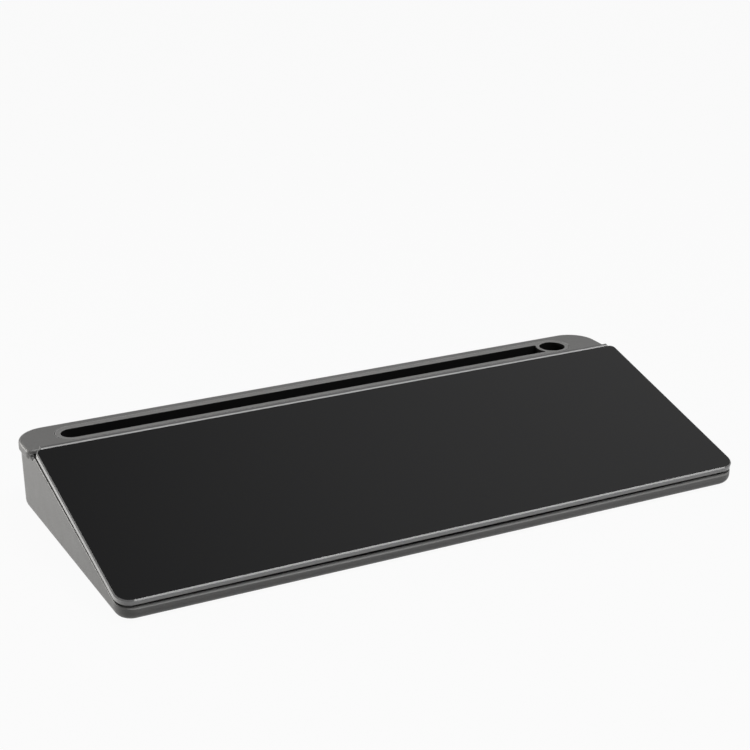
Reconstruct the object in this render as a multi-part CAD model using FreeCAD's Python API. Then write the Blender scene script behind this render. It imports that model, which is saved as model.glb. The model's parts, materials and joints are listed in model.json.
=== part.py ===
import FreeCAD
import Part

import math
import os

Vector = FreeCAD.Vector

# Desktop glass whiteboard: a wedge-shaped tub, a sloping glass lid hinged at its rear edge,
# and a rear rail with a long slot and a round cup.
# Millimetres, +X to the right of a person facing the board, +Y to the rear, +Z up.
# The origin is on the table, in the middle of the board's width and depth.

# Driving dimensions: stance
SLOPE_DEG = 14.4
FRONT_HEIGHT = 13.4
FOOT_PROUD = 0.6

# Glass panel, with its depth measured along the slope
GLASS_WIDTH = 403.3
GLASS_DEPTH = 143.05
GLASS_THICKNESS = 4.0
GLASS_FRONT_CORNER = 9.0
GLASS_REAR_CORNER = 4.0
GLASS_CHAMFER = 0.7

# Bonding tape between the glass and the tray
TAPE_THICKNESS = 0.5
TAPE_WIDTH = 9.0
TAPE_INSET = 2.0
TAPE_END_GAP = 0.5

# Lid tray, with a spine that stands behind the glass
SPINE_DEPTH = 2.6
SPINE_GAP = 0.15
SPINE_BEVEL = 0.6
TRAY_THICKNESS = 1.8
TRAY_REAR_INSET = 1.0
TRAY_FRONT_INSET = 4.2
TRAY_SIDE_CLEARANCE = 0.7
TRAY_CORNER = 6.0
TRAY_RIB_HEIGHT = 2.5
TRAY_RIB_THICKNESS = 1.6
TRAY_LONG_RIBS = 3
TRAY_CROSS_RIBS = 7

# Tub, with what shows of it in front of the glass and beside it
REVEAL = 1.1
SIDE_REVEAL = 0.55
WALL = 2.4
FLOOR = 2.2
DRAFT_DEG = 1.4
BOTTOM_ROUND = 6.0
FRONT_CORNER = 11.0
REAR_CORNER = 17.5
RIM_GAP = 1.0
RIM_BOW = 0.6
RIM_ROUND = 0.6
END_ROUND = 1.9
DIVIDER_THICKNESS = 1.8
DIVIDER_GAP = 0.8
COMPARTMENTS = 3
BULKHEAD_THICKNESS = 2.0
BULKHEAD_SETBACK = 1.5

# Hinge, with its inset measured from the outside of the side wall
OPEN_DEG = 112.0
HINGE_BACK = 3.0
HINGE_INSET = 51.6
LUG_RADIUS = 2.5
LUG_WIDTH = 10.0
LUG_REACH = 7.0
EAR_THICKNESS = 3.5
EAR_SIDE_GAP = 0.4
EAR_TRAY_GAP = 0.7
PIN_RADIUS = 1.2
PIN_CLEARANCE = 0.05
SWING_GAP = 0.6

# Bumpers and stops, with the stops' inset measured from the outside of the side wall
BUMPER_RADIUS = 4.5
BUMPER_THICKNESS = 1.5
BUMPER_POST_MARGIN = 1.0
BUMPER_FROM_FRONT = 17.0
BUMPER_GAP = 0.15
STOP_INSET = 101.6
STOP_WIDTH = 14.0
STOP_PAD_REACH = 2.5
STOP_PAD_THICKNESS = 1.5
STOP_LEDGE_THICKNESS = 3.0
STOP_GAP = 0.3

# Rail cap
RAIL_DROP = 4.8
CAP_THICKNESS = 2.5
CAP_FRONT_GAP = 0.5
CAP_SKIRT_HEIGHT = 5.4
CAP_SKIRT = 1.0
CAP_FIT = 0.1
CAP_EDGE_ROUND = 1.8
CAP_FRONT_CORNER = 3.4

# Slot, the round cup at its right end, and the trough that lines both,
# with the insets measured from the outside of the side wall
SLOT_FROM_CAP_FRONT = 8.2
SLOT_WIDTH = 14.4
SLOT_INSET = 24.6
SLOT_DEPTH = 20.0
SLOT_TO_REAR_WALL = 7.4
SLOT_CORNER = 1.0
CUP_RADIUS = 8.6
CUP_INSET = 32.6
CUP_RING = 2.4
TROUGH_WALL = 1.4
TROUGH_EDGE_ROUND = 0.6
FLANGE_WIDTH = 2.7
FLANGE_THICKNESS = 1.2
FLANGE_SEAM = 0.45
TROUGH_FIT = 0.25
PAD_THICKNESS = 1.5
PAD_SIDE_GAP = 0.4

# Screws from below
SCREW_RADIUS = 1.3
SCREW_LENGTH = 8.0
SCREW_HEAD_RADIUS = 2.4
SCREW_HEAD_HEIGHT = 1.8
SCREW_CROSS_WIDTH = 0.8
SCREW_CROSS_DEPTH = 1.0
SCREW_HOLE_GAP = 0.2
SCREW_WELL_GAP = 0.5
SCREW_SEAT = 2.5
SCREW_TIP_GAP = 0.6
BOSS_WALL = 1.9
TROUGH_SCREWS = 3

# Feet
FOOT_RADIUS = 6.0
FOOT_RECESS = 0.8
FOOT_INSET_X = 30.0
FOOT_INSET_Y = 15.0
FOOT_EDGE_ROUND = 0.4

# How far cutting shapes run past what they cut, how near a point is to a surface that it lies on,
# and how deep the middle pole of a five-pole curve lies for a dip of one
PAST = 20.0
TOUCH = 0.0001
BOW_POLE = 8 / 3

# Worked-out positions, with Y counted from the top front edge of the glass until the end
SLOPE = math.radians(SLOPE_DEG)
DRAFT = math.tan(math.radians(DRAFT_DEG))
glass_half = GLASS_WIDTH / 2
tape_top = -GLASS_THICKNESS
tray_top = tape_top - TAPE_THICKNESS
tray_under = tray_top - TRAY_THICKNESS
rib_under = tray_under - TRAY_RIB_HEIGHT
rim_level = -GLASS_THICKNESS - RIM_GAP
spine_front = GLASS_DEPTH + SPINE_GAP
lid_depth = spine_front + SPINE_DEPTH
tray_rear = lid_depth - TRAY_REAR_INSET

# The hinge axis lies under the rear edge of the glass, one lug radius below the tape
axis_along = lid_depth - HINGE_BACK
axis_level = tray_top - LUG_RADIUS
axis_y = axis_along * math.cos(SLOPE) - axis_level * math.sin(SLOPE)
axis_z = FRONT_HEIGHT + axis_along * math.sin(SLOPE) + axis_level * math.cos(SLOPE)
lid_rear_z = FRONT_HEIGHT + lid_depth * math.sin(SLOPE)
cap_top = lid_rear_z - RAIL_DROP
housing_top = cap_top - CAP_THICKNESS

# Room for the lid as it swings: its reach to the rear, and how low the spine and the glass come
lean = math.radians(OPEN_DEG) - SLOPE - math.pi / 2
swing_reach = math.hypot(HINGE_BACK, axis_level)
lean_reach = (-axis_level + (cap_top - axis_z) * math.sin(lean)) / math.cos(lean)
housing_y = axis_y + max(swing_reach, lean_reach) + SWING_GAP
glass_under = axis_level + GLASS_THICKNESS
landing_level = axis_level if lean > 0 else glass_under
open_edge_y = axis_y - landing_level * math.cos(lean) - HINGE_BACK * math.sin(lean)
open_edge_z = axis_z + landing_level * math.sin(lean) - HINGE_BACK * math.cos(lean)
ear_rear = axis_y - glass_under * math.cos(lean) - HINGE_BACK * math.sin(lean) - SWING_GAP
spine_notch_z = open_edge_z - SWING_GAP
shelf_z = spine_notch_z - SWING_GAP
notch_z = spine_notch_z + (lid_depth - GLASS_DEPTH) * math.cos(lean)

bulkhead_y = housing_y + BULKHEAD_SETBACK
cap_front = housing_y + CAP_FRONT_GAP
slot_front = cap_front + SLOT_FROM_CAP_FRONT
slot_y = slot_front + SLOT_WIDTH / 2
rear_y = slot_front + SLOT_WIDTH + SLOT_TO_REAR_WALL + WALL
cap_rear = rear_y + CAP_FIT + CAP_SKIRT
outer_half = glass_half + SIDE_REVEAL
hinge_x = outer_half - HINGE_INSET
stop_x = outer_half - STOP_INSET
slot_end = outer_half - SLOT_INSET
cup_x = outer_half - CUP_INSET
cap_half = outer_half + CAP_FIT + CAP_SKIRT
floor_top = FOOT_PROUD + FLOOR
rim_front_z = FRONT_HEIGHT + rim_level * math.cos(SLOPE)
front_y = -REVEAL + (housing_top - rim_front_z) * DRAFT
inner_half_low = outer_half - WALL - (housing_top - floor_top) * DRAFT
tray_half = inner_half_low - TRAY_SIDE_CLEARANCE
rib_bay = 2 * tray_half / (TRAY_CROSS_RIBS + 1)
bumper_x = tray_half - rib_bay / 2

trough_under = cap_top - SLOT_DEPTH - TROUGH_WALL
pilot_depth = SCREW_LENGTH - SCREW_SEAT + SCREW_TIP_GAP
joint_z = trough_under - pilot_depth
boss_radius = SCREW_RADIUS + BOSS_WALL
post_radius = SCREW_HEAD_RADIUS + SCREW_WELL_GAP + BOSS_WALL
mouth_half = max(cup_x + CUP_RADIUS, slot_end)
mouth_radius = max(CUP_RADIUS, SLOT_WIDTH / 2)
end_screw_x = (mouth_half + TROUGH_WALL + outer_half - WALL) / 2

# Every piece moves by this much at the end, so that the origin is in the middle of the depth
MIDDLE = Vector(0, -(front_y + cap_rear) / 2, 0)
SIDES = (("left", -1), ("right", 1))


def outline(half, front, rear, front_radius, rear_radius, z):
    """A closed rectangle with rounded front and rear corners, flat at height z."""
    turn = math.sqrt(0.5)
    corners = (
        (half - front_radius, front + front_radius, front_radius, 1, -1),
        (half - rear_radius, rear - rear_radius, rear_radius, 1, 1),
        (-half + rear_radius, rear - rear_radius, rear_radius, -1, 1),
        (-half + front_radius, front + front_radius, front_radius, -1, -1),
    )
    arcs = []
    for x, y, radius, side, end in corners:
        across = Vector(x + side * radius, y, z)
        along = Vector(x, y + end * radius, z)
        middle = Vector(x + side * radius * turn, y + end * radius * turn, z)
        first, last = (along, across) if side == -end else (across, along)
        arcs.append(Part.Arc(first, middle, last).toShape())
    edges = []
    for arc, following in zip(arcs, arcs[1:] + arcs[:1]):
        edges.append(arc)
        edges.append(Part.makeLine(arc.lastVertex().Point, following.firstVertex().Point))
    return Part.Wire(edges)


def plate(half, front, rear, front_radius, rear_radius, low, high):
    """A flat plate with rounded corners between two heights."""
    wire = outline(half, front, rear, front_radius, rear_radius, low)
    return Part.Face(wire).extrude(Vector(0, 0, high - low))


def stadium(half_length, width, y, low, high):
    """A bar with half-round ends, between two heights."""
    radius = width / 2
    straight = half_length - radius
    bar = box(-straight, straight, y - radius, y + radius, low, high)
    ends = [Part.makeCylinder(radius, high - low, Vector(side * straight, y, low)) for _, side in SIDES]
    return bar.fuse(ends).removeSplitter()


def box(x0, x1, y0, y1, z0, z1):
    """A box from its two opposite corners."""
    return Part.makeBox(x1 - x0, y1 - y0, z1 - z0, Vector(x0, y0, z0))


def across(points, x0, x1):
    """A prism along X from an outline of (y, z) points."""
    corners = [Vector(x0, y, z) for y, z in points]
    face = Part.Face(Part.makePolygon(corners + corners[:1]))
    return face.extrude(Vector(x1 - x0, 0, 0))


def rod(radius, x0, x1, y, z):
    """A round bar along X."""
    return Part.makeCylinder(radius, x1 - x0, Vector(x0, y, z), Vector(1, 0, 0))


def on_slope(shape):
    """Tilt a shape drawn flat into the glass's plane: Z 0 is the top of the glass, Y 0 its front edge."""
    tilt = FreeCAD.Rotation(Vector(1, 0, 0), SLOPE_DEG)
    placed = shape.copy()
    placed.Placement = FreeCAD.Placement(Vector(0, 0, FRONT_HEIGHT), tilt).multiply(placed.Placement)
    return placed


def edges_at(shape, z):
    """The edges of a shape that lie flat at one height."""
    return [e for e in shape.Edges if all(abs(v.Z - z) < 1e-6 for v in e.Vertexes)]


def drafted_block(inset, low):
    """The tub's outer form, set in by an amount, from a low level up to past the top of the housing."""
    sections = []
    for z in (low, housing_top + PAST):
        grow = (z - housing_top) * DRAFT - inset
        sections.append(outline(
            outer_half + grow, -REVEAL - grow, rear_y + grow, FRONT_CORNER + grow, REAR_CORNER + grow, z))
    return Part.makeLoft(sections, True, True)


def glass_panel():
    """Glass with rounded corners and ground bevels along both faces."""
    panel = plate(
        glass_half, 0, GLASS_DEPTH, GLASS_FRONT_CORNER, GLASS_REAR_CORNER, -GLASS_THICKNESS, 0)
    edges = edges_at(panel, 0) + edges_at(panel, -GLASS_THICKNESS)
    return on_slope(panel.makeChamfer(GLASS_CHAMFER, edges))


def tape_strips():
    """Four strips of bonding tape, just inside the tray's outline."""
    half = tray_half - TAPE_INSET
    front = TRAY_FRONT_INSET + TAPE_INSET
    rear = axis_along - LUG_RADIUS - EAR_TRAY_GAP - TAPE_INSET
    long_half = half - TRAY_CORNER
    side_front = front + TAPE_WIDTH + TAPE_END_GAP
    side_rear = rear - TAPE_WIDTH - TAPE_END_GAP
    strips = {
        "tape_front": box(-long_half, long_half, front, front + TAPE_WIDTH, tray_top, tape_top),
        "tape_rear": box(-half, half, rear - TAPE_WIDTH, rear, tray_top, tape_top),
        "tape_left": box(-half, -half + TAPE_WIDTH, side_front, side_rear, tray_top, tape_top),
        "tape_right": box(half - TAPE_WIDTH, half, side_front, side_rear, tray_top, tape_top),
    }
    return {name: on_slope(strip) for name, strip in strips.items()}


def hinge_centres():
    """Where the two hinges stand across the width."""
    return [(name, side * hinge_x) for name, side in SIDES]


def ear_spans(centre):
    """The two stretches along X that a hinge's bracket plates fill."""
    near = LUG_WIDTH / 2 + EAR_SIDE_GAP
    far = near + EAR_THICKNESS
    return [(centre - far, centre - near), (centre + near, centre + far)]


def lid_tray():
    """A thin plate with ribs below, a spine behind the glass, and a lug at each hinge between notches."""
    tray = plate(
        tray_half, TRAY_FRONT_INSET, tray_rear, TRAY_CORNER, GLASS_REAR_CORNER, tray_under, tray_top)
    rim = plate(
        tray_half, TRAY_FRONT_INSET, tray_rear, TRAY_CORNER, GLASS_REAR_CORNER, rib_under, tray_under)
    inside = plate(
        tray_half - TRAY_RIB_THICKNESS, TRAY_FRONT_INSET + TRAY_RIB_THICKNESS, tray_rear + PAST,
        TRAY_CORNER - TRAY_RIB_THICKNESS, GLASS_REAR_CORNER, rib_under, tray_under)
    ribs = [rim.cut(inside)]
    last_rib = axis_along - LUG_REACH
    rib_field = last_rib - TRAY_FRONT_INSET
    for number in range(1, TRAY_LONG_RIBS + 1):
        y = TRAY_FRONT_INSET + rib_field * number / TRAY_LONG_RIBS
        ribs.append(box(-tray_half, tray_half, y - TRAY_RIB_THICKNESS, y, rib_under, tray_under))
    for number in range(1, TRAY_CROSS_RIBS + 1):
        x = -tray_half + rib_bay * number - TRAY_RIB_THICKNESS / 2
        ribs.append(box(x, x + TRAY_RIB_THICKNESS, TRAY_FRONT_INSET, last_rib, rib_under, tray_under))
    tray = tray.fuse(ribs)
    spine = box(-tray_half, tray_half, spine_front, lid_depth, tape_top, 0)
    spine = spine.makeChamfer(SPINE_BEVEL, edges_at(spine, 0))
    web = box(-tray_half, tray_half, spine_front, tray_rear, tray_top, tape_top)
    tray = tray.fuse([web, spine])
    for _, centre in hinge_centres():
        x0, x1 = centre - LUG_WIDTH / 2, centre + LUG_WIDTH / 2
        barrel = rod(LUG_RADIUS, x0, x1, axis_along, axis_level)
        arm = box(x0, x1, axis_along - LUG_REACH, axis_along, axis_level - LUG_RADIUS, tray_top)
        notch_front = axis_along - LUG_RADIUS - EAR_TRAY_GAP
        for ear0, ear1 in ear_spans(centre):
            clear0 = ear0 - (EAR_TRAY_GAP if ear0 < x0 else EAR_SIDE_GAP)
            clear1 = ear1 + (EAR_SIDE_GAP if ear0 < x0 else EAR_TRAY_GAP)
            tray = tray.cut(box(clear0, clear1, notch_front, tray_rear + PAST, rib_under - PAST, tape_top))
        tray = tray.fuse([barrel, arm])
        hole = rod(PIN_RADIUS + PIN_CLEARANCE, x0 - EAR_SIDE_GAP, x1 + EAR_SIDE_GAP, axis_along, axis_level)
        tray = tray.cut(hole)
    return on_slope(tray.removeSplitter())


def hinge_brackets():
    """Plates that stand on the floor in front of the bulkhead and carry the hinge pins."""
    low = FOOT_PROUD + FLOOR / 2
    profile = (
        (axis_y - LUG_RADIUS, axis_z),
        (axis_y - LUG_RADIUS, low),
        (bulkhead_y + BULKHEAD_THICKNESS / 2, low),
        (bulkhead_y + BULKHEAD_THICKNESS / 2, shelf_z),
        (ear_rear, shelf_z),
        (ear_rear, axis_z),
    )
    brackets = []
    for _, centre in hinge_centres():
        for x0, x1 in ear_spans(centre):
            ear = across(profile, x0, x1).fuse(rod(LUG_RADIUS, x0, x1, axis_y, axis_z))
            brackets.append(ear.cut(rod(PIN_RADIUS, x0 - EAR_SIDE_GAP, x1 + EAR_SIDE_GAP, axis_y, axis_z)))
    return brackets


def hinge_pins():
    """One steel pin per hinge, as long as the bracket is wide."""
    pins = {}
    for name, centre in hinge_centres():
        spans = ear_spans(centre)
        pins["hinge_pin_" + name] = rod(PIN_RADIUS, spans[0][0], spans[1][1], axis_y, axis_z)
    return pins


def screw_places():
    """Screw positions in plan: one at each end of the housing, the rest in equal bays under the trough."""
    bay = 2 * slot_end / TROUGH_SCREWS
    under_trough = [((number + 0.5) * bay - slot_end, slot_y) for number in range(TROUGH_SCREWS)]
    under_cap = [(side * end_screw_x, slot_y) for _, side in SIDES]
    return under_trough, under_cap


def screw(x, y):
    """A pan-head screw, head down, with a crossed slot; its head bears on the post's seat."""
    seat = joint_z - SCREW_SEAT
    shank = Part.makeCylinder(SCREW_RADIUS, SCREW_LENGTH, Vector(x, y, seat))
    head = Part.makeCylinder(SCREW_HEAD_RADIUS, SCREW_HEAD_HEIGHT, Vector(x, y, seat - SCREW_HEAD_HEIGHT))
    low = seat - SCREW_HEAD_HEIGHT
    arm, half = SCREW_RADIUS, SCREW_CROSS_WIDTH / 2
    cross = [
        box(x - arm, x + arm, y - half, y + half, low, low + SCREW_CROSS_DEPTH),
        box(x - half, x + half, y - arm, y + arm, low, low + SCREW_CROSS_DEPTH),
    ]
    return shank.fuse(head).cut(cross)


def pilot_hole(x, y):
    """The blind hole in a boss that a screw's thread fills."""
    return Part.makeCylinder(SCREW_RADIUS, pilot_depth, Vector(x, y, joint_z))


def foot_places():
    """The four feet, in from the walls, with their names."""
    front = front_y + FOOT_INSET_Y
    rear = rear_y - FOOT_INSET_Y
    places = {}
    for name, side in SIDES:
        x = side * (outer_half - FOOT_INSET_X)
        places["foot_front_" + name] = Vector(x, front, 0)
        places["foot_rear_" + name] = Vector(x, rear, 0)
    return places


def feet():
    """Round rubber feet, sunk into the underside."""
    pieces = {}
    for name, place in foot_places().items():
        foot = Part.makeCylinder(FOOT_RADIUS, FOOT_PROUD + FOOT_RECESS, place)
        pieces[name] = foot.makeFillet(FOOT_EDGE_ROUND, edges_at(foot, 0))
    return pieces


def bumper(side, radius, low, high):
    """A round bar square to the tray, at a bumper's place, between two levels below the glass."""
    place = Vector(side * bumper_x, BUMPER_FROM_FRONT, low)
    return on_slope(Part.makeCylinder(radius, high - low, place))


def lid_bumpers():
    """Rubber discs on posts near the front, just under the tray."""
    top = tray_under - BUMPER_GAP
    low = top - BUMPER_THICKNESS
    return {"lid_bumper_" + name: bumper(side, BUMPER_RADIUS, low, top) for name, side in SIDES}


def stop_ledge(side):
    """A shelf on the bulkhead for a stop pad, from just in front of where the spine's edge lands."""
    x = side * stop_x
    top = open_edge_z - STOP_GAP - STOP_PAD_THICKNESS
    front = open_edge_y - STOP_PAD_REACH
    return box(
        x - STOP_WIDTH / 2, x + STOP_WIDTH / 2, front, bulkhead_y + BULKHEAD_THICKNESS / 2,
        top - STOP_LEDGE_THICKNESS, top)


def stop_pads():
    """Rubber pads that the lid's spine comes down on when the lid is fully open."""
    pads = {}
    for name, side in SIDES:
        ledge = stop_ledge(side).BoundBox
        pads["stop_pad_" + name] = box(
            ledge.XMin, ledge.XMax, ledge.YMin, bulkhead_y - STOP_GAP, ledge.ZMax,
            ledge.ZMax + STOP_PAD_THICKNESS)
    return pads


def stop_room(side):
    """The room over a stop ledge for its pad, which no divider stands in."""
    ledge = stop_ledge(side).BoundBox
    return box(
        ledge.XMin - STOP_GAP, ledge.XMax + STOP_GAP, ledge.YMin - STOP_GAP, bulkhead_y, ledge.ZMax, cap_top)


def under_lid(level, y0, y1):
    """Everything above a level that is parallel to the glass, across the whole width."""
    wide = cap_half + PAST
    return on_slope(box(-wide, wide, y0, y1, level, level + cap_top + PAST))


def sloped_rim():
    """What trims the walls in front of the housing: the rim's slope, and a smooth bow along the front."""
    wide = cap_half + PAST
    chord = outer_half - FRONT_CORNER
    high = cap_top + 2 * PAST
    dip = rim_level - BOW_POLE * RIM_BOW
    bow = Part.BezierCurve()
    bow.setPoles([
        Vector(-chord, 0, rim_level), Vector(-chord / 2, 0, rim_level), Vector(0, 0, dip),
        Vector(chord / 2, 0, rim_level), Vector(chord, 0, rim_level)])
    around = Part.makePolygon([
        Vector(chord, 0, rim_level), Vector(wide, 0, rim_level), Vector(wide, 0, high),
        Vector(-wide, 0, high), Vector(-wide, 0, rim_level), Vector(-chord, 0, rim_level)])
    front = Part.Face(Part.Wire([bow.toShape()] + around.Edges))
    front.translate(Vector(0, -PAST, 0))
    front = front.extrude(Vector(0, PAST + TRAY_FRONT_INSET, 0))
    behind = box(-wide, wide, TRAY_FRONT_INSET, lid_depth + 2 * PAST, rim_level, high)
    rim = on_slope(front.fuse(behind).removeSplitter())
    return rim.common(box(-wide, wide, -wide, housing_y, -PAST, high))


def rim_edges(trimmed, block):
    """Where the outside of a wall meets the sloped rim, on a block that was trimmed."""
    outside = block.Shells[0]
    edges = []
    for edge in trimmed.Edges:
        middle = edge.valueAt((edge.FirstParameter + edge.LastParameter) / 2)
        below_rim = middle.y < housing_y - TOUCH and middle.z < housing_top
        on_wall = outside.distToShape(Part.Vertex(middle))[0] < TOUCH
        faces = trimmed.ancestorsOfType(edge, Part.Face)
        on_top = any(face.normalAt(*face.Surface.parameter(middle)).z > 0.5 for face in faces)
        if below_rim and on_wall and on_top:
            edges.append(edge)
    return edges


def end_edges(trimmed, block):
    """The upright outer edges where the side walls' notches end at the housing."""
    outside = block.Shells[0]
    edges = []
    for edge in trimmed.Edges:
        middle = edge.valueAt((edge.FirstParameter + edge.LastParameter) / 2)
        at_end = abs(middle.y - housing_y) < TOUCH and notch_z + TOUCH < middle.z < housing_top - TOUCH
        if at_end and outside.distToShape(Part.Vertex(middle))[0] < TOUCH:
            edges.append(edge)
    return edges


def swing_notch(half, low):
    """The room that the rear of the lid swings into, across a width and down to a level."""
    high = cap_top + 2 * PAST
    slope_front = ear_rear - (high - low)
    return across(
        ((slope_front, high), (ear_rear, low), (housing_y, low), (housing_y, high)), -half, half)


def rear_cutters():
    """What trims the tub behind the glass: the open lid's notches, the housing's top, the stops' room."""
    wide = cap_half + PAST
    notches = [swing_notch(wide, notch_z), swing_notch(inner_half_low, spine_notch_z)]
    top = box(-wide, wide, housing_y, cap_rear + PAST, housing_top, cap_top + 2 * PAST)
    return notches + [top] + [stop_room(side) for _, side in SIDES]


def inner_walls():
    """What stays standing inside the tub: bulkhead, dividers, bumper posts, screw posts and stop ledges."""
    wide = outer_half
    walls = [box(-wide, wide, bulkhead_y, bulkhead_y + BULKHEAD_THICKNESS, 0, housing_top)]
    storage = box(-wide, wide, front_y, bulkhead_y + BULKHEAD_THICKNESS / 2, 0, housing_top)
    above = under_lid(rib_under - DIVIDER_GAP, -PAST, lid_depth + 2 * PAST)
    for number in range(1, COMPARTMENTS):
        x = -inner_half_low + 2 * inner_half_low * number / COMPARTMENTS
        divider = box(
            x - DIVIDER_THICKNESS / 2, x + DIVIDER_THICKNESS / 2, front_y,
            bulkhead_y + BULKHEAD_THICKNESS / 2, 0, housing_top)
        walls.append(divider.cut(above))
    post_top = tray_under - BUMPER_GAP - BUMPER_THICKNESS
    for _, side in SIDES:
        post = bumper(side, BUMPER_RADIUS + BUMPER_POST_MARGIN, post_top - PAST, post_top)
        walls.append(post.common(storage))
        walls.append(stop_ledge(side))
    for x, y in sum(screw_places(), []):
        walls.append(Part.makeCylinder(post_radius, joint_z, Vector(x, y, 0)))
    return walls


def base_tub():
    """The moulded tub: a drafted shell, trimmed along its rim, with everything that stands inside it."""
    block = drafted_block(0, FOOT_PROUD)
    block = block.makeFillet(BOTTOM_ROUND, edges_at(block, FOOT_PROUD))
    cavity = drafted_block(WALL, floor_top)
    inner_round = max(BOTTOM_ROUND - WALL, WALL / 4)
    cavity = cavity.makeFillet(inner_round, edges_at(cavity, floor_top))
    cavity = cavity.cut(inner_walls())
    tub = block.cut(sloped_rim())
    tub = tub.makeFillet(min(RIM_ROUND, WALL / 3), rim_edges(tub, block))
    tub = tub.cut(rear_cutters())
    tub = tub.makeFillet(min(END_ROUND, 0.8 * WALL), end_edges(tub, block))
    tub = tub.cut(cavity).fuse(hinge_brackets())
    well = SCREW_HEAD_RADIUS + SCREW_WELL_GAP
    holes = []
    for x, y in sum(screw_places(), []):
        holes.append(Part.makeCylinder(well, joint_z - SCREW_SEAT, Vector(x, y, 0)))
        holes.append(Part.makeCylinder(SCREW_RADIUS + SCREW_HOLE_GAP, joint_z, Vector(x, y, 0)))
    for place in foot_places().values():
        holes.append(Part.makeCylinder(FOOT_RADIUS, FOOT_PROUD + FOOT_RECESS, place))
    return tub.cut(holes).removeSplitter()


def slot_bar(grow, low, high):
    """The slot's outline, grown all round, from its half-round left end to the middle of the cup."""
    radius = SLOT_WIDTH / 2 + grow
    round_x = SLOT_WIDTH / 2 - slot_end
    bar = box(round_x, cup_x, slot_y - radius, slot_y + radius, low, high)
    end = Part.makeCylinder(radius, high - low, Vector(round_x, slot_y, low))
    return bar.fuse(end).removeSplitter()


def slot_space(shrink, low, high):
    """The room inside the slot, in from its walls, ended on the right by the ring round the cup."""
    ring = cup_bar(CUP_RING + shrink, low, high)
    room = slot_bar(-shrink, low, high).cut(ring)
    right = room.BoundBox.XMax - CUP_RING
    corners = [e for e in room.Edges if e.BoundBox.XMin > right and e.BoundBox.ZLength > (high - low) / 2]
    return room.makeFillet(SLOT_CORNER, corners)


def cup_bar(grow, low, high):
    """A round bar on the cup's centre, larger than the cup by an amount."""
    return Part.makeCylinder(CUP_RADIUS + grow, high - low, Vector(cup_x, slot_y, low))


def rail_cap():
    """The cap over the rear housing: a plate with a skirt, the trough's opening and two screw bosses."""
    low = cap_top - CAP_SKIRT_HEIGHT
    corner = REAR_CORNER + CAP_FIT + CAP_SKIRT
    front_corner = max(CAP_FRONT_CORNER, CAP_EDGE_ROUND * 1.5)
    cap = plate(cap_half, cap_front, cap_rear, front_corner, corner, low, cap_top)
    cap = cap.makeFillet(CAP_EDGE_ROUND, edges_at(cap, cap_top))
    inner_corner = REAR_CORNER + CAP_FIT
    hollow = plate(
        outer_half + CAP_FIT, cap_front - inner_corner - PAST, rear_y + CAP_FIT, inner_corner, inner_corner,
        low - PAST, housing_top)
    reach = FLANGE_WIDTH + FLANGE_SEAM
    recess = stadium(
        mouth_half + reach, 2 * (mouth_radius + reach), slot_y, cap_top - FLANGE_THICKNESS, cap_top + PAST)
    around = TROUGH_WALL + TROUGH_FIT
    passages = [bar(around, housing_top - PAST, cap_top + PAST) for bar in (slot_bar, cup_bar)]
    cap = cap.cut([hollow, recess] + passages)
    boss_height = housing_top + CAP_THICKNESS / 2 - joint_z
    for x, y in screw_places()[1]:
        boss = Part.makeCylinder(boss_radius, boss_height, Vector(x, y, joint_z))
        cap = cap.fuse(boss).cut(pilot_hole(x, y))
    return cap.removeSplitter()


def slot_trough():
    """The insert that lines the slot and the cup, with a flush flange, and screw bosses below."""
    floor = cap_top - SLOT_DEPTH
    flange_under = cap_top - FLANGE_THICKNESS
    flange = stadium(
        mouth_half + FLANGE_WIDTH, 2 * (mouth_radius + FLANGE_WIDTH), slot_y, flange_under, cap_top)
    solids = [bar(TROUGH_WALL, trough_under, flange_under) for bar in (slot_bar, cup_bar)]
    for x, y in screw_places()[0]:
        solids.append(Part.makeCylinder(boss_radius, pilot_depth + TROUGH_WALL / 2, Vector(x, y, joint_z)))
    trough = flange.fuse(solids)
    spaces = [slot_space(0, floor, cap_top + PAST), cup_bar(0, floor, cap_top + PAST)]
    spaces += [pilot_hole(x, y) for x, y in screw_places()[0]]
    trough = trough.cut(spaces).removeSplitter()
    top = [f for f in trough.Faces if f.BoundBox.ZMin > cap_top - FLANGE_THICKNESS / 2][0]
    mouths = [e for w in top.Wires if not w.isSame(top.OuterWire) for e in w.Edges]
    return trough.makeFillet(TROUGH_EDGE_ROUND, mouths)


def trough_pad():
    """A rubber strip on the slot's floor."""
    floor = cap_top - SLOT_DEPTH
    return slot_space(PAD_SIDE_GAP, floor, floor + PAD_THICKNESS)


def pieces():
    """Every piece of the board by name."""
    made = {
        "base_tub": base_tub(),
        "rail_cap": rail_cap(),
        "slot_trough": slot_trough(),
        "trough_pad": trough_pad(),
        "housing_screws": Part.makeCompound([screw(x, y) for x, y in sum(screw_places(), [])]),
        "glass_panel": glass_panel(),
        "lid_tray": lid_tray(),
    }
    for group in (hinge_pins(), feet(), lid_bumpers(), stop_pads(), tape_strips()):
        made.update(group)
    return made


def main():
    os.makedirs("parts", exist_ok=True)
    for name, shape in pieces().items():
        shape.translate(MIDDLE)
        shape.exportStep(os.path.join("parts", name + ".step"))
        box_size = shape.BoundBox
        print("%-18s solids %d  valid %s  volume %9.1f  size %.1f x %.1f x %.1f" % (
            name, len(shape.Solids), shape.isValid(), shape.Volume,
            box_size.XLength, box_size.YLength, box_size.ZLength))


main()
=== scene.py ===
import json
import math

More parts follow.
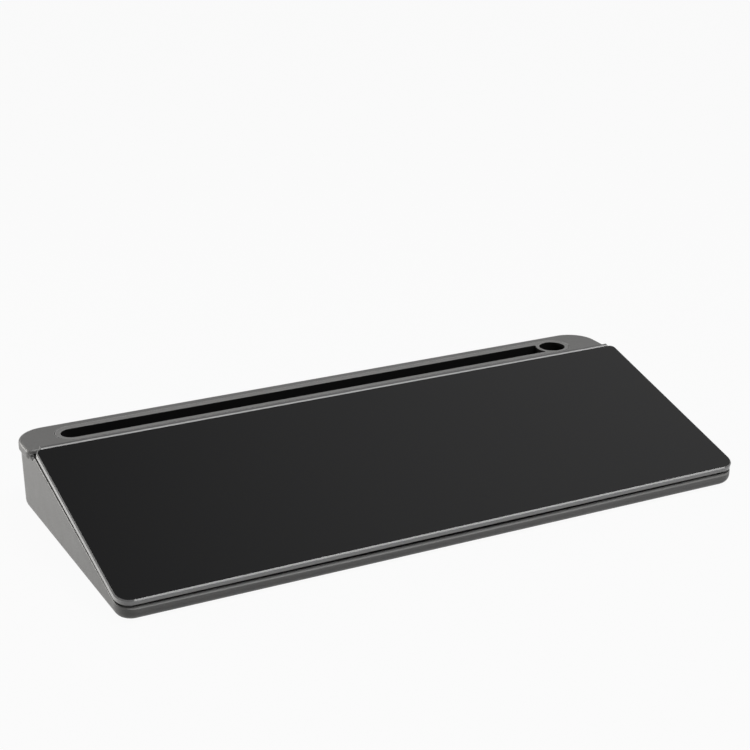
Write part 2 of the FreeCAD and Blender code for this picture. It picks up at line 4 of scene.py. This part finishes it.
import bpy
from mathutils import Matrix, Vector


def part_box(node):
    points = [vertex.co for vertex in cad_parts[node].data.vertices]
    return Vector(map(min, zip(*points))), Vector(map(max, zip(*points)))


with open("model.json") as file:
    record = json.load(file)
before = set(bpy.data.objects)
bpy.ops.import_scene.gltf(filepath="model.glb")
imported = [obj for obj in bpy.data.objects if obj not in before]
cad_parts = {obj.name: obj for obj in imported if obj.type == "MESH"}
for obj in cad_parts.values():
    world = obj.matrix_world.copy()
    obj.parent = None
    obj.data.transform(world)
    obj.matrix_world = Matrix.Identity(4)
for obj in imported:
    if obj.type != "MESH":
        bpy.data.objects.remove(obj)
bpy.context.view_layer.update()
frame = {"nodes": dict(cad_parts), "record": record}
nodes = frame["nodes"]

# Camera in the part's frame: place and clipping in metres, aim in degrees, focal length in pixels
PHOTO_PIXELS = 750
FOCAL_PIXELS = 1804.5
SENSOR_MM = 36.0
CAMERA_PLACE = (-0.46859, -0.90256, 0.45531)
CAMERA_AZIMUTH = -27.25
CAMERA_ELEVATION = 20.41
CLIP_NEAR = 0.01
CLIP_FAR = 1000.0

# Stage: a pale floor that shows the same white to the camera and in reflections, with a soft shadow
FLOOR_SIZE = 400.0
FLOOR_WHITE = 1.0
FLOOR_ALBEDO = 0.20
FLOOR_GLOW_SHARE = 0.95

# Soft boxes: name, place and point aimed at in metres, width, height, watts, colour
WHITE = (1.0, 1.0, 1.0)
WARM = (1.0, 0.985, 0.955)
SOFT_BOXES = (
    ("key_left", (-0.70, 0.36, 0.14), (-0.20, 0.0, 0.03), 0.60, 0.22, 6.6, WARM),
    ("overhead", (0.25, -0.42, 1.25), (0.0, 0.0, 0.0), 0.90, 0.60, 20.5, WHITE),
    ("front_strip", (0.63, -1.12, 0.68), (0.63, -0.09, 0.01), 1.05, 0.11, 3.0, WHITE),
)

# World: a dim room, pale low down all round, with a glow on the right. The pale part's limits are
# the sines of its elevation, and the glow's are degrees from its middle
ROOM_LEVEL = 0.09
HORIZON_LEVEL = 0.40
HORIZON_FULL = 0.04
HORIZON_GONE = 0.30
GLOW_LEVEL = 0.40
GLOW_AZIMUTH = 100.0
GLOW_ELEVATION = 25.0
GLOW_INNER = 20.0
GLOW_OUTER = 65.0

# Colours, linear
BLACK = (0.0, 0.0, 0.0, 1.0)
SHELL_COLOUR = (0.130, 0.129, 0.127, 1.0)
TROUGH_COLOUR = (0.165, 0.164, 0.162, 1.0)
# Painted shade: the slot is made black below its lip and on its walls
SLOT_SHADE_COLOUR = (0.0015, 0.0015, 0.0015, 1.0)
SPINE_COLOUR = (0.075, 0.075, 0.075, 1.0)
# Painted highlight on the front bevel of the spine
SPINE_BEVEL_HIGHLIGHT = (0.34, 0.34, 0.338, 1.0)
TRAY_COLOUR = (0.040, 0.040, 0.041, 1.0)
GLASS_BLACK = (0.0040, 0.0040, 0.0043, 1.0)
GLASS_CHAMFER_COLOUR = (0.13, 0.13, 0.13, 1.0)
GLASS_EDGE_COLOUR = (0.31, 0.31, 0.31, 1.0)
GLASS_STREAK_COLOUR = (0.08, 0.08, 0.08, 1.0)
GLASS_PAINT = (0.012, 0.012, 0.013, 1.0)
RUBBER_COLOUR = (0.022, 0.022, 0.023, 1.0)
RUBBER_BLOOM_COLOUR = (0.05, 0.05, 0.05, 1.0)
STEEL_COLOUR = (0.55, 0.55, 0.56, 1.0)
TAPE_COLOUR = (0.030, 0.030, 0.031, 1.0)

# Sizes of the textures, in features per metre
FLOW_SCALE = 14.0
PATCH_SCALE = 90.0
STREAK_SCALE = 1800.0
SMEAR_SCALE = 22.0
SPECKLE_SCALE = 3200.0
BLOOM_SCALE = 160.0
DRAWN_SCALE = (60.0, 4000.0, 4000.0)
SPOT_SCALE = 900.0
CELL_SCALE = 2600.0

# Most of a noise texture's values lie between these
NOISE_LOW = 0.3
NOISE_HIGH = 0.7

# Plastic: how far its grain darkens it, and how far its roughness runs up and down in patches
GRAIN_SHADE = 0.35
GLOSS_SPREAD = 0.04

# Edges of the plastic, made smoother and given a painted highlight: how wide the band is, in metres,
# between which cosines of the bend it shows, how much lighter the painted highlight is and with what share,
# and how much smoother it is
EDGE_RADIUS = 0.0008
EDGE_FULL = 0.80
EDGE_NONE = 0.995
EDGE_HIGHLIGHT_GAIN = 2.6
EDGE_HIGHLIGHT_SHARE = 0.75
EDGE_SMOOTHER = 0.16

# Roughness of the second tones, and of the bevels and the painted back of the glass
SLOT_SHADE_ROUGHNESS = 0.75
SPINE_ROUGHNESS = 0.40
SPINE_BEVEL_ROUGHNESS = 0.30
CHAMFER_ROUGHNESS = 0.15
PAINT_ROUGHNESS = 0.45

# Cosines between which the tilt of a face takes it from one finish to another: the polished face of
# the glass, its bevels, its painted back, the painted shade on the walls of the slot and the painted
# highlight on the bevel of the spine
POLISHED_TILT = (0.93, 0.96)
CHAMFER_TILT = (0.45, 0.55)
PAINTED_TILT = (-0.96, -0.93)
WALL_TILT = (-0.75, -0.25)
SPINE_HIGHLIGHT_TILT = (0.90, 0.96)

# How far below its lip the painted shade in the slot begins, how far below the top of the glass the
# tone of the spine begins, and the height over which each comes in, in metres
SLOT_SHADE_BELOW = 0.0005
SLOT_SHADE_FADE = 0.0004
SPINE_HEIGHT = 0.0042
SPINE_FADE = 0.0002

# Small pieces: how near two points are to be one and how much the edges are rounded, in metres
WELD_DISTANCE = 0.00001
SOFT_SEGMENTS = 2
SOFT_EDGES = (
    ("stop_pad_", 0.0004),
    ("lid_bumper_", 0.0003),
    ("tape_", 0.00015),
    ("hinge_pin_", 0.0002),
)


def aim(azimuth, elevation):
    """The unit vector from the object at an azimuth, 0 in front and 90 on the right, and an elevation."""
    a = math.radians(azimuth)
    e = math.radians(elevation)
    return Vector((math.sin(a) * math.cos(e), -math.cos(a) * math.cos(e), math.sin(e)))


def turned_to(direction):
    """The turn that makes a lamp or a camera look along a direction."""
    return direction.to_track_quat("-Z", "Y")


def new_tree(name):
    """A new material and its empty node tree."""
    made = bpy.data.materials.new(name)
    made.use_nodes = True
    made.node_tree.nodes.clear()
    return made, made.node_tree


def put(tree, kind, inputs=None, **settings):
    """Add a node, set its properties, and set or link its inputs by name or number."""
    made = tree.nodes.new("ShaderNode" + kind)
    for name, value in settings.items():
        setattr(made, name, value)
    for name, value in (inputs or {}).items():
        if isinstance(value, bpy.types.NodeSocket):
            tree.links.new(value, made.inputs[name])
        else:
            made.inputs[name].default_value = value
    return made


def noise(tree, place, scale, detail=2.0, roughness=0.5):
    """A noise value between 0 and 1 with features of about 1/scale metres."""
    made = put(tree, "TexNoise", {
        "Vector": place, "Scale": scale, "Detail": detail, "Roughness": roughness})
    return made.outputs["Fac"]


def remap(tree, value, low, high, from_low=0.0, from_high=1.0, smooth=False):
    """A value carried from one range to another, kept inside it."""
    made = put(tree, "MapRange", {
        "Value": value, "From Min": from_low, "From Max": from_high, "To Min": low, "To Max": high})
    made.interpolation_type = "SMOOTHSTEP" if smooth else "LINEAR"
    return made.outputs["Result"]


def from_noise(tree, value, low, high):
    """A noise value carried from its usual range to another."""
    return remap(tree, value, low, high, NOISE_LOW, NOISE_HIGH)


def maths(tree, operation, first, second):
    """One sum on two values."""
    return put(tree, "Math", {0: first, 1: second}, operation=operation).outputs["Value"]


def dot(tree, first, second):
    """The dot product of two vectors."""
    made = put(tree, "VectorMath", {0: first, 1: second}, operation="DOT_PRODUCT")
    return made.outputs["Value"]


def blend_value(tree, share, first, second):
    """Two values mixed by a share."""
    return put(tree, "Mix", {0: share, 2: first, 3: second}, data_type="FLOAT").outputs[0]


def blend_colour(tree, share, first, second, kind="MIX"):
    """Two colours mixed by a share."""
    made = put(tree, "Mix", {0: share, 6: first, 7: second}, data_type="RGBA", blend_type=kind)
    return made.outputs[2]


def bump(tree, height, depth, strength):
    """A bumped normal, with the height's full range in metres."""
    inputs = {"Height": height, "Distance": depth, "Strength": strength}
    return put(tree, "Bump", inputs).outputs["Normal"]


def surface(tree, **inputs):
    """The principled shader, wired to the material's output."""
    named = {name.replace("_", " "): value for name, value in inputs.items()}
    shader = put(tree, "BsdfPrincipled", named)
    put(tree, "OutputMaterial", {"Surface": shader.outputs["BSDF"]})


def scaled(colour, factor):
    """A colour made lighter or darker."""
    return tuple(factor * c for c in colour[:3]) + (1.0,)


def tinted(tree, colour, value, spread):
    """A colour that runs lighter and darker by a share, as a value goes from 0 to 1."""
    return blend_colour(tree, value, scaled(colour, 1 - spread), scaled(colour, 1 + spread))


def edge_highlight_and_gloss(tree):
    """A value that is 1 on sharp edges and 0 on flat ground."""
    rounded = put(tree, "Bevel", {"Radius": EDGE_RADIUS}, samples=4).outputs["Normal"]
    flat = put(tree, "NewGeometry").outputs["Normal"]
    return remap(tree, dot(tree, rounded, flat), 1.0, 0.0, EDGE_FULL, EDGE_NONE)


def moulded_plastic(name, colour, roughness, grain_scale, grain_depth, tones=(), ior=1.48):
    """Satin moulded plastic: fine grain, flow marks, smoother edges and a painted highlight that makes the
    edges lighter.

    Each further tone begins where the place or the normal reaches far enough along a direction:
    ("Object" or "Normal", direction, start, full, colour, roughness).
    """
    made, tree = new_tree(name)
    coords = put(tree, "TexCoord")
    place = coords.outputs["Object"]
    grain = noise(tree, place, grain_scale, detail=3.0, roughness=0.6)
    flow = noise(tree, place, FLOW_SCALE, detail=3.0, roughness=0.55)
    patches = noise(tree, place, PATCH_SCALE)
    edge = edge_highlight_and_gloss(tree)
    tone = tinted(tree, colour, from_noise(tree, flow, 0.0, 1.0), spread=0.045)
    tone = blend_colour(tree, from_noise(tree, grain, 0.0, GRAIN_SHADE), tone, BLACK, "SOFT_LIGHT")
    # Painted highlight: sharp edges are made lighter
    highlight_share = maths(tree, "MULTIPLY", edge, EDGE_HIGHLIGHT_SHARE)
    tone = blend_colour(tree, highlight_share, tone, scaled(colour, EDGE_HIGHLIGHT_GAIN))
    rough = remap(tree, patches, roughness - GLOSS_SPREAD, roughness + GLOSS_SPREAD, 0.25, 0.75)
    rough = maths(tree, "SUBTRACT", rough, maths(tree, "MULTIPLY", edge, EDGE_SMOOTHER))
    for kind, direction, start, full, other_colour, other_rough in tones:
        along = dot(tree, coords.outputs[kind], direction)
        share = remap(tree, along, 0.0, 1.0, start, full)
        tone = blend_colour(tree, share, tone, tinted(tree, other_colour, flow, spread=0.10))
        rough = blend_value(tree, share, rough, other_rough)
    normal = bump(tree, grain, grain_depth, strength=0.6)
    surface(tree, Base_Color=tone, Roughness=rough, IOR=ior, Normal=normal)
    return made


def painted_glass(name, up):
    """Polished glass painted black on its back, with ground bevels and edges."""
    made, tree = new_tree(name)
    coords = put(tree, "TexCoord")
    place = coords.outputs["Object"]
    level = dot(tree, coords.outputs["Normal"], up)
    polished = remap(tree, level, 0.0, 1.0, *POLISHED_TILT)
    chamfer = remap(tree, level, 0.0, 1.0, *CHAMFER_TILT)
    painted = remap(tree, level, 1.0, 0.0, *PAINTED_TILT)
    streak = noise(tree, place, STREAK_SCALE)
    smear = noise(tree, place, SMEAR_SCALE, detail=4.0, roughness=0.65)
    ground = blend_colour(tree, chamfer, GLASS_EDGE_COLOUR, GLASS_CHAMFER_COLOUR)
    ground = blend_colour(tree, from_noise(tree, streak, 0.0, 0.10), ground, GLASS_STREAK_COLOUR)
    colour = blend_colour(tree, polished, ground, GLASS_BLACK)
    colour = blend_colour(tree, painted, colour, GLASS_PAINT)
    clear = remap(tree, smear, 0.012, 0.045, 0.35, 0.75)
    frosted = blend_value(tree, chamfer, from_noise(tree, streak, 0.26, 0.34), CHAMFER_ROUGHNESS)
    rough = blend_value(tree, polished, frosted, clear)
    rough = blend_value(tree, painted, rough, PAINT_ROUGHNESS)
    height = maths(tree, "MULTIPLY", streak, maths(tree, "SUBTRACT", 1.0, chamfer))
    normal = bump(tree, height, depth=0.00001, strength=0.3)
    surface(tree, Base_Color=colour, Roughness=rough, IOR=1.52, Normal=normal)
    return made


def rubber(name):
    """Matte black rubber with a fine dull speckle."""
    made, tree = new_tree(name)
    place = put(tree, "TexCoord").outputs["Object"]
    speckle = noise(tree, place, SPECKLE_SCALE, detail=3.0, roughness=0.7)
    bloom = noise(tree, place, BLOOM_SCALE, detail=3.0)
    tone = tinted(tree, RUBBER_COLOUR, from_noise(tree, speckle, 0.0, 1.0), spread=0.25)
    tone = blend_colour(tree, remap(tree, bloom, 0.0, 0.3, 0.45, 0.75), tone, RUBBER_BLOOM_COLOUR)
    rough = from_noise(tree, bloom, 0.72, 0.88)
    normal = bump(tree, speckle, depth=0.00004, strength=0.6)
    surface(tree, Base_Color=tone, Roughness=rough, IOR=1.5, Normal=normal)
    return made


def turned_steel(name):
    """Bright plated steel with fine drawn lines and faint spots."""
    made, tree = new_tree(name)
    place = put(tree, "TexCoord").outputs["Object"]
    drawn = put(tree, "Mapping", {"Vector": place, "Scale": DRAWN_SCALE}).outputs["Vector"]
    lines = noise(tree, drawn, 1.0)
    spots = noise(tree, place, SPOT_SCALE, detail=3.0)
    tone = tinted(tree, STEEL_COLOUR, from_noise(tree, spots, 0.0, 1.0), spread=0.12)
    dulled = remap(tree, spots, 0.0, 0.08, 0.5, 0.8)
    rough = maths(tree, "ADD", from_noise(tree, lines, 0.20, 0.34), dulled)
    normal = bump(tree, lines, depth=0.00001, strength=0.4)
    surface(tree, Base_Color=tone, Metallic=1.0, Roughness=rough, Normal=normal)
    return made


def foam_tape(name):
    """Black foam bonding tape: closed cells, quite dull."""
    made, tree = new_tree(name)
    place = put(tree, "TexCoord").outputs["Object"]
    cells = put(tree, "TexVoronoi", {"Vector": place, "Scale": CELL_SCALE}).outputs["Distance"]
    tone = tinted(tree, TAPE_COLOUR, remap(tree, cells, 0.0, 1.0, 0.0, 0.8), spread=0.35)
    rough = remap(tree, cells, 0.80, 0.95, 0.0, 0.8)
    normal = bump(tree, cells, depth=0.00006, strength=0.7)
    surface(tree, Base_Color=tone, Roughness=rough, IOR=1.45, Normal=normal)
    return made


def floor_material():
    """Pale floor: plain white to the camera and to reflections, and a diffuse one that takes the shadow."""
    made, tree = new_tree("studio_floor")
    path = put(tree, "LightPath")
    seen = maths(tree, "MAXIMUM", path.outputs["Is Camera Ray"], path.outputs["Is Glossy Ray"])
    seen = maths(tree, "MAXIMUM", seen, path.outputs["Is Transmission Ray"])
    share = maths(tree, "MULTIPLY", seen, FLOOR_GLOW_SHARE)
    white = (FLOOR_WHITE, FLOOR_WHITE, FLOOR_WHITE, 1.0)
    pale = (FLOOR_ALBEDO, FLOOR_ALBEDO, FLOOR_ALBEDO, 1.0)
    matte = put(tree, "BsdfDiffuse", {"Color": pale}).outputs["BSDF"]
    glow = put(tree, "Emission", {"Color": white, "Strength": 1.0}).outputs["Emission"]
    mixed = put(tree, "MixShader", {0: share, 1: matte, 2: glow}).outputs["Shader"]
    put(tree, "OutputMaterial", {"Surface": mixed})
    return made


def make_floor():
    """A large flat floor under the feet."""
    half = FLOOR_SIZE / 2
    corners = [(-half, -half, 0), (half, -half, 0), (half, half, 0), (-half, half, 0)]
    mesh = bpy.data.meshes.new("studio_floor")
    mesh.from_pydata(corners, [], [(0, 1, 2, 3)])
    mesh.materials.append(floor_material())
    floor = bpy.data.objects.new("studio_floor", mesh)
    bpy.context.scene.collection.objects.link(floor)


def make_world():
    """A dim room, pale low down, with a soft glow on one side."""
    world = bpy.data.worlds.new("studio_room")
    bpy.context.scene.world = world
    world.use_nodes = True
    tree = world.node_tree
    tree.nodes.clear()
    direction = put(tree, "TexCoord").outputs["Generated"]
    height = put(tree, "SeparateXYZ", {0: direction}).outputs["Z"]
    horizon = remap(tree, height, HORIZON_LEVEL, ROOM_LEVEL, HORIZON_FULL, HORIZON_GONE, smooth=True)
    near = dot(tree, direction, aim(GLOW_AZIMUTH, GLOW_ELEVATION))
    inner = math.cos(math.radians(GLOW_INNER))
    outer = math.cos(math.radians(GLOW_OUTER))
    glow = remap(tree, near, 0.0, GLOW_LEVEL, outer, inner, smooth=True)
    level = maths(tree, "MAXIMUM", horizon, glow)
    light = put(tree, "Background", {"Color": WHITE + (1.0,), "Strength": level})
    put(tree, "OutputWorld", {"Surface": light.outputs["Background"]})


def make_lights():
    """Soft boxes round the object."""
    for name, place, target, width, height, watts, colour in SOFT_BOXES:
        lamp = bpy.data.lights.new(name, "AREA")
        lamp.shape = "RECTANGLE"
        lamp.size = width
        lamp.size_y = height
        lamp.energy = watts
        lamp.color = colour
        held = bpy.data.objects.new(name, lamp)
        held.location = place
        held.rotation_mode = "QUATERNION"
        held.rotation_quaternion = turned_to(Vector(target) - Vector(place))
        bpy.context.scene.collection.objects.link(held)


def make_camera():
    """The photograph's camera."""
    lens = bpy.data.cameras.new("camera")
    lens.sensor_width = SENSOR_MM
    lens.lens = FOCAL_PIXELS * SENSOR_MM / PHOTO_PIXELS
    lens.clip_start = CLIP_NEAR
    lens.clip_end = CLIP_FAR
    camera = bpy.data.objects.new("camera", lens)
    camera.location = CAMERA_PLACE
    camera.rotation_mode = "QUATERNION"
    camera.rotation_quaternion = turned_to(-aim(CAMERA_AZIMUTH, CAMERA_ELEVATION))
    bpy.context.scene.collection.objects.link(camera)
    bpy.context.scene.camera = camera


def glass_up():
    """The direction that the polished face of the glass looks, and how far along it the face lies."""
    mesh = nodes["glass_panel"].data
    widest = max(mesh.polygons, key=lambda face: face.area)
    up = widest.normal if widest.normal.z > 0 else -widest.normal
    return up, max(corner.co.dot(up) for corner in mesh.vertices)


def slot_painted_shade():
    """The further tones of the trough: painted shade, black below its lip and on its walls."""
    down = (0.0, 0.0, -1.0)
    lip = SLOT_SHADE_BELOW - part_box("slot_trough")[1][2]
    return (
        ("Object", down, lip, lip + SLOT_SHADE_FADE, SLOT_SHADE_COLOUR, SLOT_SHADE_ROUGHNESS),
        ("Normal", down, *WALL_TILT, SLOT_SHADE_COLOUR, SLOT_SHADE_ROUGHNESS),
    )


def tray_spine(up, level):
    """The further tones of the tray: its spine behind the glass, with a painted highlight on its bevel
    towards the front.
    """
    foot = level - SPINE_HEIGHT
    bevel = (up + Vector((0.0, -up.z, up.y))).normalized()
    return (
        ("Object", up, foot, foot + SPINE_FADE, SPINE_COLOUR, SPINE_ROUGHNESS),
        ("Normal", bevel, *SPINE_HIGHLIGHT_TILT, SPINE_BEVEL_HIGHLIGHT, SPINE_BEVEL_ROUGHNESS),
    )


def dress():
    """Give every CAD node its finish, by the record's material slots."""
    up, level = glass_up()
    finishes = {
        "shell": moulded_plastic(
            "shell_plastic", SHELL_COLOUR, roughness=0.46, grain_scale=2600.0, grain_depth=0.00003, ior=1.40),
        "trough": moulded_plastic(
            "trough_plastic", TROUGH_COLOUR, roughness=0.44, grain_scale=2600.0, grain_depth=0.00002,
            tones=slot_painted_shade(), ior=1.22),
        "tray": moulded_plastic(
            "tray_plastic", TRAY_COLOUR, roughness=0.55, grain_scale=1600.0, grain_depth=0.00005,
            tones=tray_spine(up, level)),
        "glass": painted_glass("painted_glass", up),
        "pad_rubber": rubber("pad_rubber"),
        "steel": turned_steel("turned_steel"),
        "tape": foam_tape("foam_tape"),
    }
    for part in frame["record"]["subparts"]:
        node = nodes[part["node"]]
        node.data.materials.clear()
        node.data.materials.append(finishes[part["material_slot"]])


def soften():
    """Round the edges of the small pieces."""
    for name, node in nodes.items():
        for start, width in SOFT_EDGES:
            if name.startswith(start):
                node.modifiers.new("weld", "WELD").merge_threshold = WELD_DISTANCE
                rounding = node.modifiers.new("soft_edges", "BEVEL")
                rounding.width = width
                rounding.segments = SOFT_SEGMENTS
                rounding.limit_method = "ANGLE"


dress()
soften()
make_floor()
make_world()
make_lights()
make_camera()

bpy.context.scene.view_settings.view_transform = "Standard"
